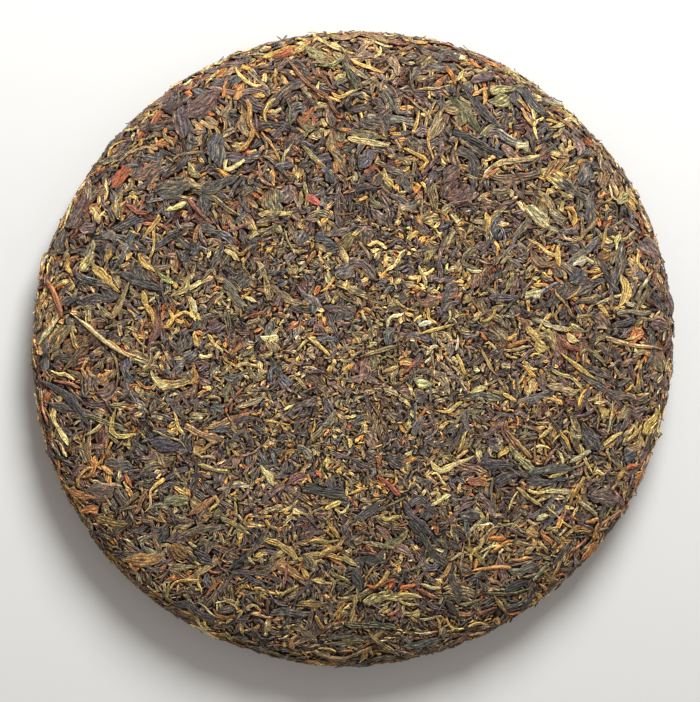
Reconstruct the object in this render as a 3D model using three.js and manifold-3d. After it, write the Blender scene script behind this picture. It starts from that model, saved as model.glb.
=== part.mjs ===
// A pressed cake of pu erh tea, lying with its face up: one shallow domed disc of steamed and dried leaf, with
// a rounded rim, a flat ring to rest on and the dimple that the knot of the pressing cloth leaves in the back.
// Whole leaves, buds and stalks stand out of the pressed surface all over, the largest of them in relief here.
// Millimetres, +Z up. The origin is on the table, under the middle of the cake.
import * as THREE from "three";
import Module from "manifold-3d";
import { mergeVertices } from "three/addons/utils/BufferGeometryUtils.js";

// The cake.
const CAKE_RADIUS = 96.6;
const CAKE_HEIGHT = 23.3; // table to the crown of the face
const RIM_HEIGHT = 11; // table to the widest ring
const FACE_POWER = 5; // how far out the face stays level
const FACE_ROUNDING = 2.2; // how sharply it then turns down
const RING_RADIUS = 60; // outer edge of the flat ring underneath
const DIMPLE_RADIUS = 38;
const DIMPLE_DEPTH = 10.5;
const CORE_SEGMENTS = 48;
const CORE_FACE_STEPS = 8;
const CORE_BACK_STEPS = 10;
const UNEVEN = 0.35; // how far the pressed surface wanders, in rings that swing in and out round the middle
const RIPPLE = { ringGap: 7, swing: 3, swings: 5, lobes: 4, turnGap: 11 };
const CALM_MIDDLE = 10; // it fades out this near the middle
const CALM_FOOT = 3; // and this near the table
// Out of round: each wave has so many lobes round the rim, a size as a share of the radius, and a start in
// degrees.
const OUTLINE_WAVES = [
  { lobes: 2, share: 0.006, start: 0 },
  { lobes: 3, share: 0.0022, start: 40 },
  { lobes: 7, share: 0.0016, start: 110 },
  { lobes: 11, share: 0.0012, start: 15 },
];

// The leaves in relief.
const LEAF_SIDES = 6;
const SHORT_LEAF_STEPS = 3;
const LONG_LEAF_STEPS = 4;
const LONG_LEAF = 15;
const STRONG_BEND = 40; // degrees, from which a short leaf needs the steps of a long one
const LEAF_RELIEF = 0.75; // crown over the pressed surface
const LEAF_ROOT = 1.3; // and how deep the rest of it is pressed in
const BLUNT_ENDS = 0.6; // 1 gives an oval, less gives a strip
const ROUND_TIP = 1e-6; // thinner than this is the very tip
const GOLDEN_ANGLE = Math.PI * (3 - Math.sqrt(5));
const MERGE_WITHIN = 1e-3; // corners closer than this are one
const SEED = 357;
// Loose draws: how many for each side, their lengths and widths, and the least way from a placed leaf.
const FACE_LEAVES = 84;
const RIM_LEAVES = 26;
const BACK_LEAVES = 30;
const DIMPLE_LEAVES = 6;
const SMALL_LEAF = { length: 11, width: 2.4 };
const LARGE_LEAF = { length: 25, width: 4.2 };
const KEEP_CLEAR = 9;
const MORE_SMALL = 1.6; // 1 gives as many long as short ones, more gives more short ones
const LOOSE_BEND = 40; // degrees
const FACE_MARGIN = 8; // kept free inside the widest ring
const RIM_BAND = 3; // half of the band round the rim
const BACK_MARGIN = 5; // kept free under the widest ring
const FLAT_MARGIN = 22; // kept free outside the flat ring
const RIM_ALONG = 0.9; // 1 lays them all along the rim
const RIM_LENGTH = 0.9; // share of the lengths above
const DIMPLE_LENGTH = 0.6;

// The eye looks down on the cake from a little to the upper left.
const EYE_LEAN = THREE.MathUtils.degToRad(8); // to the left, and as much upwards
const EYE_DISTANCE = 750;
const SIGHT_POINT = new THREE.Vector3(-2.4, 0.9, 11); // what it looks at
const SHEET_SCALE = 0.988; // from a reading to millimetres on the sheet across that point
const SHEET_SHIFT = 0.75;

// The leaves that stand out on the face, each read off that sheet with +Y up: its middle, length, width,
// heading in degrees from +X, and how far it bends from end to end.
const PLACED_LEAVES = [
  { x: -76.5, y: 3.5, length: 26, width: 2.6, heading: -38, bend: 8 },
  { x: -74.5, y: 21, length: 12.5, width: 2.4, heading: -47, bend: 10 },
  { x: -61.5, y: 12, length: 11, width: 2.2, heading: -71, bend: -14 },
  { x: -51, y: 18.5, length: 11, width: 2.6, heading: 45, bend: 8 },
  { x: -64.5, y: 20, length: 16, width: 3.4, heading: -20, bend: -16 },
  { x: -54.5, y: 48, length: 10.5, width: 4.8, heading: 12, bend: 0 },
  { x: -40, y: 49.5, length: 12, width: 4.2, heading: 25, bend: 6 },
  { x: -16.5, y: 84, length: 12, width: 1.9, heading: -50, bend: 0 },
  { x: -70.5, y: 51.5, length: 7.5, width: 4, heading: 52, bend: 0 },
  { x: 5, y: 63, length: 13, width: 2.2, heading: -10, bend: 10 },
  { x: 13, y: 26, length: 10, width: 1.8, heading: 48, bend: 20 },
  { x: 55.5, y: 2.5, length: 10.5, width: 2.6, heading: -52, bend: 34 },
  { x: 81.5, y: 16.5, length: 13, width: 2.4, heading: -100, bend: -80 },
  { x: 64, y: 69, length: 8, width: 2.4, heading: -30, bend: 0 },
  { x: -87, y: -15.5, length: 21, width: 3.4, heading: -40, bend: -50 },
  { x: -53.5, y: -46.5, length: 8, width: 2.8, heading: 4, bend: 0 },
  { x: -45.5, y: -48, length: 11, width: 2.6, heading: 33, bend: 14 },
  { x: -17.5, y: -40, length: 7, width: 3.4, heading: 30, bend: 0 },
  { x: -63, y: -64, length: 13.5, width: 4.4, heading: 6, bend: 18 },
  { x: -39.5, y: -81.5, length: 9, width: 2.2, heading: -20, bend: 130 },
  { x: -21.5, y: -61, length: 13, width: 2.4, heading: -35, bend: -44 },
  { x: -8.5, y: -59, length: 10.5, width: 1.8, heading: 0, bend: 6 },
  { x: -56.5, y: -29.5, length: 10, width: 4.4, heading: -6, bend: 0 },
  { x: 11.5, y: -42.5, length: 9.5, width: 2, heading: -43, bend: 0 },
  { x: 30, y: -35.5, length: 18, width: 2.2, heading: 8, bend: 70 },
  { x: 68.5, y: -6, length: 16, width: 2, heading: -36, bend: 8 },
  { x: 63.5, y: -12.5, length: 10.5, width: 2.8, heading: -17, bend: 0 },
  { x: 72, y: -27, length: 12, width: 5, heading: -60, bend: 0 },
  { x: 62.5, y: -43.5, length: 9, width: 2, heading: -4, bend: -10 },
  { x: 90.5, y: -22.5, length: 10, width: 2.6, heading: 52, bend: 10 },
  { x: 72.5, y: -62, length: 9, width: 3.8, heading: 60, bend: 0 },
  { x: 38, y: -41, length: 7.5, width: 3.2, heading: -12, bend: 0 },
  { x: 41, y: -48, length: 10, width: 2.6, heading: -57, bend: 0 },
  { x: 23, y: -60, length: 20, width: 3, heading: -52, bend: 14 },
  { x: 12, y: -76.5, length: 18, width: 2.4, heading: 4, bend: -34 },
  { x: 42.5, y: -67.5, length: 14, width: 1.8, heading: 2, bend: -24 },
];

// A number from 0 to 1 for each call, the same ones each time.
function seededRandom(seed) {
  let state = seed;
  return () => {
    state = (state + 0x6d2b79f5) | 0;
    let mixed = Math.imul(state ^ (state >>> 15), 1 | state);
    mixed ^= mixed + Math.imul(mixed ^ (mixed >>> 7), 61 | mixed);
    return ((mixed ^ (mixed >>> 14)) >>> 0) / 4294967296;
  };
}

function faceHeight(r) {
  const fall = Math.pow(Math.min(r / CAKE_RADIUS, 1), FACE_POWER);
  return RIM_HEIGHT + (CAKE_HEIGHT - RIM_HEIGHT) * Math.pow(1 - fall, 1 / FACE_ROUNDING);
}

function backHeight(r) {
  if (r < DIMPLE_RADIUS) return (DIMPLE_DEPTH / 2) * (1 + Math.cos((Math.PI * r) / DIMPLE_RADIUS));
  if (r < RING_RADIUS) return 0;
  const across = Math.min((r - RING_RADIUS) / (CAKE_RADIUS - RING_RADIUS), 1);
  return RIM_HEIGHT * (1 - Math.sqrt(1 - across * across));
}

// Half of the cake's section, from the middle of the face round the rim to the middle of the back, as points
// of radius and height. It is closer towards the rim, where it turns.
function sectionPoints(faceSteps, backSteps) {
  const points = [];
  const outwards = (share) => CAKE_RADIUS * Math.sin((share * Math.PI) / 2);
  for (let i = 0; i <= faceSteps; i++) {
    const r = outwards(i / faceSteps);
    points.push(new THREE.Vector2(r, faceHeight(r)));
  }
  for (let i = backSteps - 1; i >= 0; i--) {
    const r = outwards(i / backSteps);
    points.push(new THREE.Vector2(r, backHeight(r)));
  }
  return points;
}

// The section as fine steps with the way along it, for laying things on the surface.
const FINE_STEPS = 600;
const track = sectionPoints(FINE_STEPS, FINE_STEPS);
const wayAlong = [0];
for (let i = 1; i < track.length; i++) {
  wayAlong.push(wayAlong[i - 1] + track[i].distanceTo(track[i - 1]));
}
const wholeWay = wayAlong[wayAlong.length - 1];
const wayToRim = wayAlong[FINE_STEPS];

function onSection(way) {
  let low = 0;
  let high = track.length - 1;
  while (high - low > 1) {
    const middle = (low + high) >> 1;
    if (wayAlong[middle] <= way) low = middle;
    else high = middle;
  }
  const step = wayAlong[high] - wayAlong[low];
  const point = track[low].clone().lerp(track[high], step ? (way - wayAlong[low]) / step : 0);
  const ahead = track[high].clone().sub(track[low]).normalize();
  return { point, normal: new THREE.Vector2(-ahead.y, ahead.x) };
}

// The way along the surface of the face out to a radius.
function wayOut(radius) {
  let i = 1;
  while (i < FINE_STEPS && track[i].x < radius) i++;
  return THREE.MathUtils.mapLinear(radius, track[i - 1].x, track[i].x, wayAlong[i - 1], wayAlong[i]);
}

function outOfRound(angle) {
  let share = 1;
  for (const wave of OUTLINE_WAVES) {
    share += wave.share * Math.cos(wave.lobes * angle - THREE.MathUtils.degToRad(wave.start));
  }
  return share;
}

// A place on the cake. u and v run along the surface from the middle of the face or of the back, seen from
// outside, and lift is the height over the pressed surface.
function onCake(side, u, v, lift) {
  const way = Math.hypot(u, v);
  const angle = side === "face" ? Math.atan2(v, u) : -Math.atan2(v, u);
  const { point, normal } = onSection(side === "face" ? way : wholeWay - way);
  const radius = (point.x + lift * normal.x) * outOfRound(angle);
  return new THREE.Vector3(radius * Math.cos(angle), radius * Math.sin(angle), point.y + lift * normal.y);
}

// Where a leaf read off the sheet lies: on the line of sight, at the height of the face.
function placedOnFace(leaf) {
  const back = new THREE.Vector3(-Math.tan(EYE_LEAN), Math.tan(EYE_LEAN), 1).normalize();
  const right = new THREE.Vector3(0, 1, 0).cross(back).normalize();
  const up = back.clone().cross(right);
  const eye = SIGHT_POINT.clone().addScaledVector(back, EYE_DISTANCE);
  const seen = SIGHT_POINT.clone();
  seen.addScaledVector(right, leaf.x * SHEET_SCALE + SHEET_SHIFT);
  seen.addScaledVector(up, leaf.y * SHEET_SCALE + SHEET_SHIFT);
  const reach = (eye.z - faceHeight(Math.hypot(seen.x, seen.y))) / (eye.z - seen.z);
  const place = eye.lerp(seen, reach);
  const share = wayOut(Math.hypot(place.x, place.y)) / Math.hypot(place.x, place.y);
  return { ...leaf, x: place.x * share, y: place.y * share };
}

// A geometry with one vertex at each corner, so that it is one closed surface.
function closed(geometry) {
  geometry.deleteAttribute("normal");
  geometry.deleteAttribute("uv");
  return mergeVertices(geometry, MERGE_WITHIN);
}

// The pressed body: the section turned round, made a little uneven everywhere but under the cake.
function pressedBody() {
  const section = sectionPoints(CORE_FACE_STEPS, CORE_BACK_STEPS).reverse();
  const body = closed(new THREE.LatheGeometry(section, CORE_SEGMENTS));
  body.rotateX(Math.PI / 2);
  const places = body.getAttribute("position");
  for (let i = 0; i < places.count; i++) {
    const place = new THREE.Vector3().fromBufferAttribute(places, i);
    const angle = Math.atan2(place.y, place.x);
    const radius = Math.hypot(place.x, place.y);
    const rings = Math.sin(radius / RIPPLE.ringGap + RIPPLE.swing * Math.cos(RIPPLE.swings * angle));
    const ripple = rings * Math.cos(RIPPLE.lobes * angle + radius / RIPPLE.turnGap);
    const wander = ripple * Math.min(radius / CALM_MIDDLE, 1);
    const height = place.z + UNEVEN * wander * Math.min(place.z / CALM_FOOT, 1);
    const share = outOfRound(angle);
    places.setXYZ(i, place.x * share, place.y * share, height);
  }
  return body;
}

// One leaf pressed into the cake: a low strip with tapered ends, bent along an arc and laid on the surface.
function leafBody(side, leaf) {
  const fine = leaf.length > LONG_LEAF || Math.abs(leaf.bend) > STRONG_BEND;
  const steps = fine ? LONG_LEAF_STEPS : SHORT_LEAF_STEPS;
  const strip = closed(new THREE.SphereGeometry(1, LEAF_SIDES, steps));
  const places = strip.getAttribute("position");
  const heading = THREE.MathUtils.degToRad(leaf.heading);
  const bend = THREE.MathUtils.degToRad(leaf.bend || 0.01);
  const arc = leaf.length / bend;
  for (let i = 0; i < places.count; i++) {
    const along = places.getY(i);
    const thin = Math.sqrt(Math.max(1 - along * along, 0));
    const fuller = thin > ROUND_TIP ? Math.pow(thin, BLUNT_ENDS - 1) : 1;
    const across = -places.getX(i) * fuller * (leaf.width / 2);
    const up = places.getZ(i) * fuller;
    const turn = (bend * along) / 2;
    const x = arc * Math.sin(turn) - across * Math.sin(turn);
    const y = arc * (1 - Math.cos(turn)) + across * Math.cos(turn);
    const u = leaf.x + x * Math.cos(heading) - y * Math.sin(heading);
    const v = leaf.y + x * Math.sin(heading) + y * Math.cos(heading);
    const lift = up > 0 ? up * LEAF_RELIEF : up * LEAF_ROOT;
    const place = onCake(side, u, v, lift);
    places.setXYZ(i, place.x, place.y, place.z);
  }
  return strip;
}

const random = seededRandom(SEED);
const between = (low, high) => low + (high - low) * random();

// Leaves spread evenly, from one way out to another, by the angle that sunflower seeds keep. along is 1 where
// they lie along the rim and 0 where they lie any way.
function scattered(count, from, to, along, size) {
  const leaves = [];
  for (let i = 0; i < count; i++) {
    const way = Math.sqrt(from * from + ((i + 0.5) / count) * (to * to - from * from));
    const angle = i * GOLDEN_ANGLE;
    const grow = Math.pow(random(), MORE_SMALL);
    const freely = between(-90, 90) * (1 - along);
    leaves.push({
      x: way * Math.cos(angle),
      y: way * Math.sin(angle),
      length: size * THREE.MathUtils.lerp(SMALL_LEAF.length, LARGE_LEAF.length, grow),
      width: THREE.MathUtils.lerp(SMALL_LEAF.width, LARGE_LEAF.width, random()),
      heading: THREE.MathUtils.radToDeg(angle) + 90 + freely,
      bend: between(-LOOSE_BEND, LOOSE_BEND),
    });
  }
  return leaves;
}

const placedLeaves = PLACED_LEAVES.map(placedOnFace);
const clearOfPlaced = (leaf) =>
  placedLeaves.every((placed) => Math.hypot(placed.x - leaf.x, placed.y - leaf.y) > KEEP_CLEAR);

const wasm = await Module();
wasm.setup();

function solidOf(geometry) {
  const mesh = new wasm.Mesh({
    numProp: 3,
    vertProperties: geometry.getAttribute("position").array,
    triVerts: new Uint32Array(geometry.index.array),
  });
  return new wasm.Manifold(mesh);
}

// The body with every leaf joined to it.
function pressTogether() {
  const faceEnd = wayToRim - FACE_MARGIN;
  const backEnd = wholeWay - wayToRim - BACK_MARGIN;
  const onFace = [
    ...placedLeaves,
    ...scattered(FACE_LEAVES, 0, faceEnd, 0, 1).filter(clearOfPlaced),
    ...scattered(RIM_LEAVES, wayToRim - RIM_BAND, wayToRim + RIM_BAND, RIM_ALONG, RIM_LENGTH),
  ];
  const onBack = [
    ...scattered(BACK_LEAVES, RING_RADIUS + FLAT_MARGIN, backEnd, RIM_ALONG, 1),
    ...scattered(DIMPLE_LEAVES, 0, DIMPLE_RADIUS / 2, 0, DIMPLE_LENGTH),
  ];
  let cake = solidOf(pressedBody());
  for (const leaf of onFace) cake = cake.add(solidOf(leafBody("face", leaf)));
  for (const leaf of onBack) cake = cake.add(solidOf(leafBody("back", leaf)));
  return cake;
}

// The largest body of a solid as a geometry.
function wholeBody(solid) {
  const largest = solid.decompose().reduce((a, b) => (a.volume() > b.volume() ? a : b));
  const mesh = largest.getMesh();
  const geometry = new THREE.BufferGeometry();
  geometry.setAttribute("position", new THREE.BufferAttribute(mesh.vertProperties, 3));
  geometry.setIndex(new THREE.BufferAttribute(mesh.triVerts, 1));
  return geometry;
}

const pressedLeaf = new THREE.MeshStandardMaterial({ color: 0x5d4a38, roughness: 0.75, metalness: 0 });
// Keeping the largest body fills a hollow that the leaves seal. Corners that then meet can part another
// scrap from it, so it is done again.
const cake = new THREE.Mesh(wholeBody(solidOf(closed(wholeBody(pressTogether())))), pressedLeaf);
cake.name = "tea_cake";
cake.geometry.computeVertexNormals();
cake.geometry.computeBoundingBox();
const middle = cake.geometry.boundingBox.getCenter(new THREE.Vector3());
cake.position.set(-middle.x, -middle.y, 0);

const group = new THREE.Group();
group.add(cake);
export default group;
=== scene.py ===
# A pressed cake of pu erh tea, lying with its face up. A dark body carries thousands of separate leaves, buds
# and stalks, each laid on the face, round the rim or underneath so that it bends under the ones over it.
# Lengths are in millimetres until the meshes are made, which are in metres.
import math

import bpy
import numpy as np
from mathutils import Matrix, Vector


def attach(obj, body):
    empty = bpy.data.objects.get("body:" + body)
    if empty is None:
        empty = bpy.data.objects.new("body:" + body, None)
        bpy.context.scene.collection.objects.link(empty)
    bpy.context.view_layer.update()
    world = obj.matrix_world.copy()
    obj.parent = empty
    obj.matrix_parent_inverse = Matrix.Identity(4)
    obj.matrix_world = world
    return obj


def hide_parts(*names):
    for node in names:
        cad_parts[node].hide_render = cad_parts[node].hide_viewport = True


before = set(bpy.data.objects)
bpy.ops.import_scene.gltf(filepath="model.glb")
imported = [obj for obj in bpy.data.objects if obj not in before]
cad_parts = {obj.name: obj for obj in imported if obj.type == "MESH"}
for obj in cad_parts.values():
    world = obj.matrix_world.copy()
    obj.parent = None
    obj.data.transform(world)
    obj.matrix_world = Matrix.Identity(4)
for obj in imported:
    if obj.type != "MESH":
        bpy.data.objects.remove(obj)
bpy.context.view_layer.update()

# The cake, as in the solid.
CAKE_RADIUS = 96.6
CAKE_HEIGHT = 23.3
RIM_HEIGHT = 11.0
FACE_POWER = 5
FACE_ROUNDING = 2.2
RING_RADIUS = 60.0
DIMPLE_RADIUS = 38.0
DIMPLE_DEPTH = 10.5
OUTLINE_WAVES = ((2, 0.006, 0), (3, 0.0022, 40), (7, 0.0016, 110), (11, 0.0012, 15))  # lobes, share, start
CAKE_SHIFT = (-0.06, 0.29)
MM = 0.001
SEED = 357

rng = np.random.default_rng(SEED)


def face_height(r):
    fall = np.minimum(r / CAKE_RADIUS, 1) ** FACE_POWER
    return RIM_HEIGHT + (CAKE_HEIGHT - RIM_HEIGHT) * (1 - fall) ** (1 / FACE_ROUNDING)


def back_height(r):
    dimple = DIMPLE_DEPTH / 2 * (1 + np.cos(np.pi * np.minimum(r / DIMPLE_RADIUS, 1)))
    across = np.clip((r - RING_RADIUS) / (CAKE_RADIUS - RING_RADIUS), 0, 1)
    return dimple + RIM_HEIGHT * (1 - np.sqrt(1 - across**2))


# The section from the middle of the face round the rim to the middle of the back, with the way along it.
FINE_STEPS = 600
steps_out = CAKE_RADIUS * np.sin(np.linspace(0, 1, FINE_STEPS + 1) * np.pi / 2)
steps_in = steps_out[-2::-1]
track_r = np.concatenate([steps_out, steps_in])
track_z = np.concatenate([face_height(steps_out), back_height(steps_in)])
track_way = np.concatenate([[0], np.cumsum(np.hypot(np.diff(track_r), np.diff(track_z)))])
ahead_r = np.gradient(track_r, track_way)
ahead_z = np.gradient(track_z, track_way)
WHOLE_WAY = track_way[-1]
FACE_WAY = track_way[FINE_STEPS]
BACK_WAY = WHOLE_WAY - FACE_WAY


def out_of_round(angle):
    share = np.ones_like(angle)
    for lobes, size, start in OUTLINE_WAVES:
        share = share + size * np.cos(lobes * angle - math.radians(start))
    return share


def on_cake(side, u, v, lift):
    """Places on the cake in metres. u and v run along its surface from the middle of the face or the back."""
    way = np.hypot(u, v)
    angle = np.arctan2(v, u)
    if side == "back":
        way, angle = WHOLE_WAY - way, -angle
    height = np.hypot(np.interp(way, track_way, ahead_r), np.interp(way, track_way, ahead_z)) + 1e-9
    normal_r = -np.interp(way, track_way, ahead_z) / height
    normal_z = np.interp(way, track_way, ahead_r) / height
    radius = (np.interp(way, track_way, track_r) + lift * normal_r) * out_of_round(angle)
    z = np.interp(way, track_way, track_z) + lift * normal_z
    x = radius * np.cos(angle) + CAKE_SHIFT[0]
    y = radius * np.sin(angle) + CAKE_SHIFT[1]
    return np.stack([x, y, np.maximum(z, 0)], axis=-1) * MM


HILL_WAVES = 9
WAVE_SPREAD = (0.7, 1.6)  # of the size that is asked for
WAVES_TO_ONE = 4  # as many waves in step reach the highest value


def hills(u, v, size, seed):
    """Gentle rise and fall from -1 to 1, about size from hill to hill."""
    draw = np.random.default_rng(seed)
    total = np.zeros_like(u)
    for _ in range(HILL_WAVES):
        turn, start = draw.uniform(0, 2 * np.pi, 2)
        pace = 2 * np.pi / (size * draw.uniform(*WAVE_SPREAD))
        total = total + np.sin(pace * (u * np.cos(turn) + v * np.sin(turn)) + start)
    return np.clip(total / WAVES_TO_ONE, -1, 1)


def relief(u, v, parts, base=0):
    """Hills of several sizes on a base, each given by its height, its size and its seed."""
    return sum((height * hills(u, v, size, seed) for height, size, seed in parts), base)


# One side of the cake as a flat map of how high a leaf may still lie, how light it is there, with painted
# shade toward the lower edge of the face, and what is bare.
CELL = 0.3
IN_CELL = 0.4  # how far from the middle of its cell a spot is drawn, in cells
SIDE_REACH = {"face": FACE_WAY + 5, "back": BACK_WAY + 1}
FACE_LEVEL = 0.05
FACE_HILLS = ((0.28, 14, 1), (0.14, 5, 2))
RIM_CRAGS = ((0.5, 3.5, 4), (0.4, 9, 8))
RIM_CRAGS_FROM = 12  # how far in from the widest place the rim gets craggy
BACK_LEVEL = -0.25
BACK_HILLS = ((0.22, 13, 3),)
BACK_RISE = 0.2  # of the leaf beside the ring on which the cake rests
RESTING_RING = (DIMPLE_RADIUS - 8, RING_RADIUS + 14)
RESTING_LEVEL = -0.06
LIGHT_HILLS = ((0.16, 26, 7), (0.11, 11, 9))
LOWER_SHADE_BAND = (-95, -45)  # painted shade: the leaf darkens from the second to the first, toward the lower edge
LOWER_PAINTED_SHADE = 0.8
MIDDLE = (20, 60)  # and lightens from the second distance to the first
MIDDLE_LIGHT = 1.14


class Bed:
    def __init__(self, side):
        self.side = side
        self.reach = SIDE_REACH[side]
        self.half = int(self.reach / CELL) + 4
        grid = np.arange(-self.half, self.half + 1) * CELL
        u, v = np.meshgrid(grid, grid, indexing="ij")
        way = np.hypot(u, v)
        if side == "face":
            rim = np.clip((way - FACE_WAY + RIM_CRAGS_FROM) / RIM_CRAGS_FROM, 0, 1)
            level = relief(u, v, FACE_HILLS, FACE_LEVEL) + rim * relief(u, v, RIM_CRAGS)
        else:
            level = relief(u, v, BACK_HILLS, BACK_LEVEL)
            flat = (way > RESTING_RING[0]) & (way < RESTING_RING[1])
            level = np.where(flat, np.minimum(level, RESTING_LEVEL), level + BACK_RISE)
        self.ceiling = level.astype(np.float32)
        self.level = self.ceiling.copy()
        light = relief(u, v, LIGHT_HILLS, 1)
        if side == "face":
            # Painted shade: the face darkens toward its lower edge, where less light falls.
            light = light * np.interp(v, LOWER_SHADE_BAND, (LOWER_PAINTED_SHADE, 1))
            light = light * np.interp(way, MIDDLE, (MIDDLE_LIGHT, 1))
        self.light = light.astype(np.float32)
        self.inside = way < self.reach
        self.bare = self.inside.copy()

    def cells(self, u, v):
        i = np.clip(np.rint(u / CELL).astype(np.int32) + self.half, 0, 2 * self.half)
        j = np.clip(np.rint(v / CELL).astype(np.int32) + self.half, 0, 2 * self.half)
        return i, j

    def bare_share(self):
        return self.bare.sum() / self.inside.sum()

    def bare_spots(self, count):
        spots = np.argwhere(self.bare)
        spots = spots[rng.integers(0, len(spots), count)]
        return (spots - self.half) * CELL + rng.uniform(-IN_CELL, IN_CELL, (count, 2)) * CELL


# How each kind looks: sRGB colours to draw from, roughness, strength of its veins, and how much lighter its
# streaks are in red, green and blue.
KINDS = {
    "black_leaf": {
        "colours": [(80, 72, 67), (71, 66, 65), (88, 77, 69), (82, 71, 65), (75, 72, 73)],
        "rough": 0.45, "veins": 0.95, "streak": (2.2, 1.97, 1.3),
    },
    "grey_leaf": {
        "colours": [(92, 87, 84), (85, 83, 84), (100, 92, 84), (95, 85, 85), (81, 79, 81)],
        "rough": 0.45, "veins": 0.9, "streak": (1.9, 1.75, 1.25),
    },
    "olive_leaf": {
        "colours": [(115, 103, 78), (127, 114, 82), (105, 95, 73), (136, 121, 85), (109, 98, 76)],
        "rough": 0.5, "veins": 0.85, "streak": (1.8, 1.62, 1.15),
    },
    "brown_leaf": {
        "colours": [(113, 90, 74), (104, 83, 75), (123, 99, 76), (107, 87, 82), (98, 81, 78)],
        "rough": 0.5, "veins": 0.85, "streak": (1.8, 1.64, 1.2),
    },
    "tan_leaf": {
        "colours": [(152, 133, 95), (141, 121, 85), (161, 144, 102), (135, 117, 87)],
        "rough": 0.55, "veins": 0.7, "streak": (1.4, 1.38, 1.15),
    },
    "golden_bud": {
        "colours": [(200, 171, 100), (194, 157, 84), (208, 186, 117), (199, 152, 74), (208, 196, 142)],
        "rough": 0.6, "veins": 0.5, "streak": (1.1, 1.1, 1.05),
    },
    "red_stalk": {
        "colours": [(150, 98, 72), (138, 86, 64), (158, 106, 76), (130, 80, 66), (166, 110, 72)],
        "rough": 0.5, "veins": 0.55, "streak": (1.4, 1.35, 1.15),
    },
    "orange_flake": {
        "colours": [(182, 119, 66), (170, 104, 60), (160, 94, 58), (192, 134, 76)],
        "rough": 0.55, "veins": 0.5, "streak": (1.3, 1.35, 1.3),
    },
    "pale_flake": {
        "colours": [(204, 186, 134), (190, 172, 122), (210, 197, 160)],
        "rough": 0.6, "veins": 0.4, "streak": (1.08, 1.08, 1.08),
    },
}
UNDER_POINTS = 1  # under a leaf, of any size
# Sizes to draw from: length, width, thickness as a share of the width, how far the edges drop as a share of
# the thickness, how ragged the outline is, where the last ring stands, points over it and rings along it.
SIZES = {
    "needle": {
        "length": (3.5, 12.5), "width": (0.75, 1.5), "thick": 0.34, "drop": 0.8, "ragged": 0.12,
        "end": 0.95, "tops": 5, "rings": 8,
    },
    "long": {
        "length": (7.5, 19), "width": (1.7, 3.4), "thick": 0.14, "drop": 0.55, "ragged": 0.2,
        "end": 0.95, "tops": 7, "rings": 8,
    },
    "middling": {
        "length": (3.4, 8), "width": (1.2, 2.6), "thick": 0.15, "drop": 0.55, "ragged": 0.24,
        "end": 0.93, "tops": 6, "rings": 5,
    },
    "short": {
        "length": (2, 4.2), "width": (0.75, 1.6), "thick": 0.2, "drop": 0.6, "ragged": 0.2,
        "end": 0.86, "tops": 5, "rings": 3,
    },
    "broad": {
        "length": (5, 11), "width": (2.8, 5.2), "thick": 0.07, "drop": 0.5, "ragged": 0.16,
        "end": 0.94, "tops": 9, "rings": 6,
    },
    "crumb": {
        "length": (0.9, 2.4), "width": (0.6, 1.3), "thick": 0.28, "drop": 0.6, "ragged": 0.2,
        "end": 0.7, "tops": 4, "rings": 2,
    },
}
# Shares of the kinds, in the order of KINDS, for each size.
SHARES = {
    "needle": (0.16, 0.12, 0.13, 0.12, 0.18, 0.24, 0.03, 0.01, 0.01),
    "long": (0.3, 0.23, 0.15, 0.15, 0.1, 0.06, 0.01, 0.0, 0.0),
    "middling": (0.24, 0.19, 0.15, 0.16, 0.14, 0.1, 0.005, 0.015, 0.0),
    "short": (0.2, 0.16, 0.14, 0.15, 0.17, 0.13, 0.01, 0.03, 0.01),
    "broad": (0.3, 0.28, 0.18, 0.21, 0.02, 0.0, 0.0, 0.01, 0.0),
    "crumb": (0.17, 0.13, 0.13, 0.15, 0.18, 0.16, 0.015, 0.035, 0.03),
    "rim": (0.05, 0.04, 0.04, 0.42, 0.14, 0.2, 0.03, 0.08, 0.0),
}
RIM_WARMTH = 0.4  # of the leaves at the edge are drawn by the shares of the rim
SLIM_KINDS = {"golden_bud": 1.6, "tan_leaf": 2.0}  # how wide the leaves of these kinds get
# How strongly leaves of each size bend, in radians.
BENDS = {"needle": 0.85, "long": 0.7, "middling": 0.55, "short": 0.5, "broad": 0.25, "crumb": 0.2}
MOST_BEND = 1.7
SAMPLE = 0.24  # between the spots at which a leaf is tested against the map
BURY = 0.07  # how far a leaf keeps under the one over it
DEEPEST = -2.0
EDGE_POWER = 3.0  # how flat it stays before it drops
THICK_SPREAD = (0.85, 1.2)
SWAY = 0.2  # how far a leaf swings to and fro, in radians
SWAY_FROM = 4  # the length from which leaves do
SWAY_WAVE = 1.3
SWAY_START = 6
KINK = 0.5  # how sharply a leaf turns at one place, in radians
KINK_REACH = 0.12
KINK_SHARE = 0.45  # of the leaves do
KINK_WITHIN = 0.5  # of the half leaf, from its middle
TAPERS = [0.06, 0.15, 0.4, 0.9]  # from blunt to long pointed tips
TIP_POWER = 0.6
BULGE_EVERY = 1.1
TILT = 0.1
TILT_THICKEST = 0.6
STIFF_REACH = 0.7  # how far along itself a leaf follows the lowest place it passes
STIFF_FROM = 3  # the length from which it does
LOOSE_FROM = 9  # how far in from the widest place leaves begin to have loose ends
LOOSE_SHARE = 0.07
LOOSE_LIFT = (0.5, 1.5)
LOOSE_POWER = 1.5

made = {kind: [] for kind in KINDS}


def linear(colour):
    c = np.asarray(colour, float) / 255
    return np.where(c <= 0.04045, c / 12.92, ((c + 0.055) / 1.055) ** 2.4)


def envelope(values, reach):
    """The lowest of the neighbours up to reach steps away, then their running mean."""
    if reach < 1:
        return values
    padded = np.pad(values, reach, mode="edge")
    low = padded[: len(values)]
    for i in range(1, 2 * reach + 1):
        low = np.minimum(low, padded[i : i + len(values)])
    padded = np.pad(low, reach, mode="edge")
    return np.convolve(padded, np.full(2 * reach + 1, 1 / (2 * reach + 1)), mode="valid")


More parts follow.
